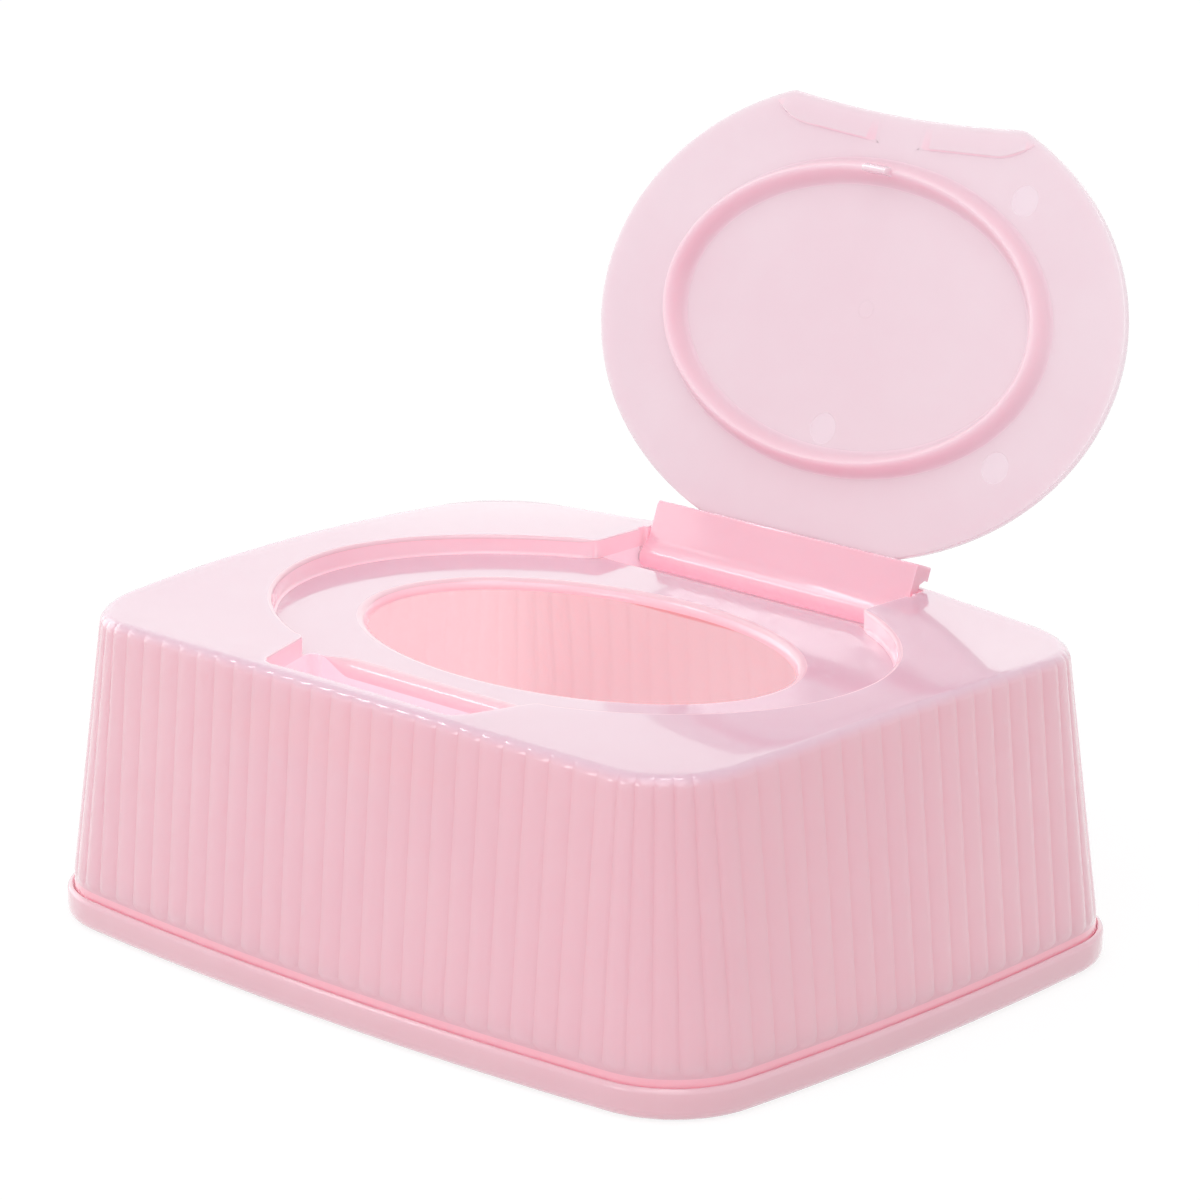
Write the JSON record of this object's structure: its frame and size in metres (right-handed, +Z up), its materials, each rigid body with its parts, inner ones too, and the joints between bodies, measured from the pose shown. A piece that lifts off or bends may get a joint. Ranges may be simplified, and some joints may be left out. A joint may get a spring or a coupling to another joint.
{
  "type": "wipes dispenser",
  "caption": "Tapered reeded countertop box with an oval dispensing opening, a finger notch and a hinged oval flip lid, on a lift-off base tray.",
  "frame": {"origin": "centre of the base tray's underside, on the surface it stands on", "axes": "+X along the long front side to the right, +Y from the finger notch towards the hinge, +Z up"},
  "size_m": [0.1828, 0.171, 0.153],
  "materials": {
    "tray_plastic": "glossy pink polypropylene",
    "housing_plastic": "glossy pink polypropylene, slightly translucent",
    "lid_plastic": "glossy pale pink polypropylene, slightly translucent"
  },
  "bodies": {
    "base": {"base_tray": "tray_plastic"},
    "housing": {"ribbed_housing": "housing_plastic"},
    "lid": {"flip_lid": "lid_plastic"}
  },
  "joints": [
    {"name": "housing_lift", "type": "slide", "parent": "base", "child": "housing", "axis": [0, 0, 1], "range_m": [0, 0.08]},
    {"name": "lid_hinge", "type": "hinge", "parent": "housing", "child": "lid", "pos_m": [0, 0.0575, 0.0591], "axis": [1, 0, 0], "range_deg": [0, 111.6]}
  ]
}
